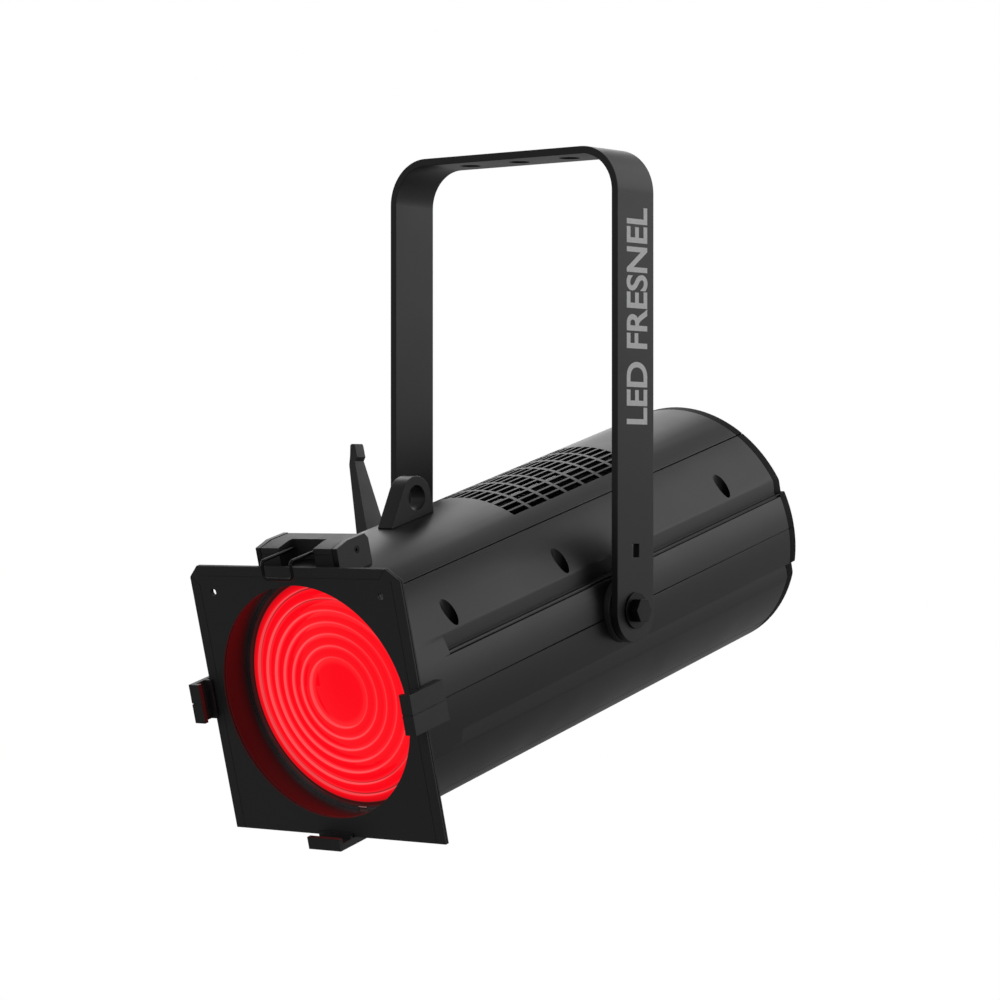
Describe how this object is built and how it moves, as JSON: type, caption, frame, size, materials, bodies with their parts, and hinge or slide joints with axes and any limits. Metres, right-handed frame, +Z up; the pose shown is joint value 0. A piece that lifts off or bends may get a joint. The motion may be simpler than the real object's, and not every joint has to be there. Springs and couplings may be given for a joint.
{
  "type": "fresnel stage spotlight",
  "caption": "Round-bodied LED Fresnel stage spotlight with a red-lit lens, a colour frame in clips and a wire latch, hung in a flat strap yoke with a clamp lever.",
  "frame": {"origin": "centre of the middle clamp hole, on the top face of the yoke's crossbar", "axes": "+Z up along the clamp hole; the light leaves towards -Y, tilted 15 degrees down; X runs across, along the pivot line"},
  "size_m": [0.2741, 0.5046, 0.4897],
  "materials": {
    "yoke_black": "satin powder coat",
    "shell_black": "fine satin powder coat",
    "dark_plastic": "matte",
    "frame_black": "matte powder coat",
    "barrel_black": "matte black",
    "lens_red": "clear glass lit red",
    "gasket_rubber": "matte",
    "zinc_steel": "bright zinc",
    "black_steel": "black oxide",
    "plain_aluminium": "milled",
    "anodised_aluminium": "satin anodised",
    "bronze": "turned",
    "board_green": "solder mask",
    "board_white": "white solder mask",
    "led_red": "lit lens",
    "collector_silver": "bright",
    "friction_fibre": "pressed fibre",
    "display_glass": "gloss",
    "socket_blue": "moulded",
    "key_grey": "matte",
    "perforated_steel": "galvanised"
  },
  "bodies": {
    "yoke": {"yoke": "yoke_black"},
    "head": {"top_cover": "shell_black", "side_upper_right": "shell_black", "side_upper_left": "shell_black", "side_lower_right": "shell_black", "side_lower_left": "shell_black", "bottom_cover": "shell_black", "panel_screws": "zinc_steel", "lens_barrel": "barrel_black", "fresnel_lens": "lens_red", "lens_gasket": "gasket_rubber", "lens_ring": "zinc_steel", "frame_clip_right": "dark_plastic", "frame_clip_left": "dark_plastic", "frame_clip_bottom": "dark_plastic", "latch_bracket": "shell_black", "latch_block": "dark_plastic", "latch_screws": "black_steel", "safety_lug": "shell_black", "front_bulkhead": "plain_aluminium", "rear_bulkhead": "plain_aluminium", "side_rails": "plain_aluminium", "pivot_boss_right": "dark_plastic", "pivot_boss_left": "dark_plastic", "friction_discs": "friction_fibre", "pivot_bolt": "black_steel", "pivot_washer": "black_steel", "guide_rods": "zinc_steel", "zoom_motor": "dark_plastic", "electronics_tray": "perforated_steel", "power_supply": "perforated_steel", "driver_board": "board_green", "rear_cap": "dark_plastic", "rear_panel": "frame_black", "rear_screws": "zinc_steel", "display": "display_glass", "power_sockets": "socket_blue", "data_sockets": "dark_plastic", "fuse_holder": "dark_plastic"},
    "carriage": {"carriage_plate": "plain_aluminium", "carriage_bushes": "bronze", "led_board": "board_white", "led_emitters": "led_red", "collector_optic": "collector_silver", "heatsink": "anodised_aluminium", "fan_frame": "dark_plastic", "drive_nut": "bronze"},
    "rotor": {"fan_rotor": "dark_plastic"},
    "screw": {"lead_screw": "zinc_steel"},
    "color_frame": {"frame_leaf_front": "frame_black", "frame_leaf_back": "frame_black"},
    "latch": {"latch_wire": "black_steel"},
    "lever": {"clamp_lever": "dark_plastic", "clamp_stud": "zinc_steel"},
    "key_1": {"button_1": "key_grey"},
    "key_2": {"button_2": "key_grey"},
    "key_3": {"button_3": "key_grey"},
    "key_4": {"button_4": "key_grey"},
    "fuse": {"fuse_cap": "dark_plastic"}
  },
  "joints": [
    {"name": "head_tilt", "type": "hinge", "parent": "yoke", "child": "head", "pos_m": [0, 0, -0.33], "axis": [1, 0, 0], "range_deg": [-75, 90]},
    {"name": "lever_turn", "type": "hinge", "parent": "head", "child": "lever", "pos_m": [0, 0, -0.33], "axis": [-1, 0, 0], "range_deg": [0, 150]},
    {"name": "zoom", "type": "slide", "parent": "head", "child": "carriage", "axis": [0, -0.9659, -0.2588], "range_m": [-0.045, 0.055]},
    {"name": "screw_turn", "type": "hinge", "parent": "head", "child": "screw", "pos_m": [0, 0.01605, -0.38989], "axis": [0, -0.9659, -0.2588], "range_deg": [-811, 991]},
    {"name": "fan_spin", "type": "hinge", "parent": "carriage", "child": "rotor", "pos_m": [0, 0, -0.33], "axis": [0, -0.9659, -0.2588], "continuous": true},
    {"name": "frame_lift", "type": "slide", "parent": "head", "child": "color_frame", "axis": [0, -0.2588, 0.9659], "range_m": [0, 0.042]},
    {"name": "latch_swing", "type": "hinge", "parent": "head", "child": "latch", "pos_m": [0, -0.22971, -0.28409], "axis": [-1, 0, 0], "range_deg": [0, 101]},
    {"name": "press_1", "type": "slide", "parent": "head", "child": "key_1", "axis": [0, -0.9659, -0.2588], "range_m": [0, 0.001], "stiffness_N_per_m": 400, "springref_m": -0.001},
    {"name": "press_2", "type": "slide", "parent": "head", "child": "key_2", "axis": [0, -0.9659, -0.2588], "range_m": [0, 0.001], "stiffness_N_per_m": 400, "springref_m": -0.001},
    {"name": "press_3", "type": "slide", "parent": "head", "child": "key_3", "axis": [0, -0.9659, -0.2588], "range_m": [0, 0.001], "stiffness_N_per_m": 400, "springref_m": -0.001},
    {"name": "press_4", "type": "slide", "parent": "head", "child": "key_4", "axis": [0, -0.9659, -0.2588], "range_m": [0, 0.001], "stiffness_N_per_m": 400, "springref_m": -0.001},
    {"name": "fuse_turn", "type": "hinge", "parent": "head", "child": "fuse", "pos_m": [0, 0.21523, -0.29096], "axis": [0, 0.9659, 0.2588], "range_deg": [0, 90]}
  ],
  "couplings": [
    {"joint": "screw_turn", "follows": "zoom", "rad_per_m": 314.16},
    {"joint": "latch_swing", "follows": "frame_lift", "rad_per_m": 41.667}
  ]
}
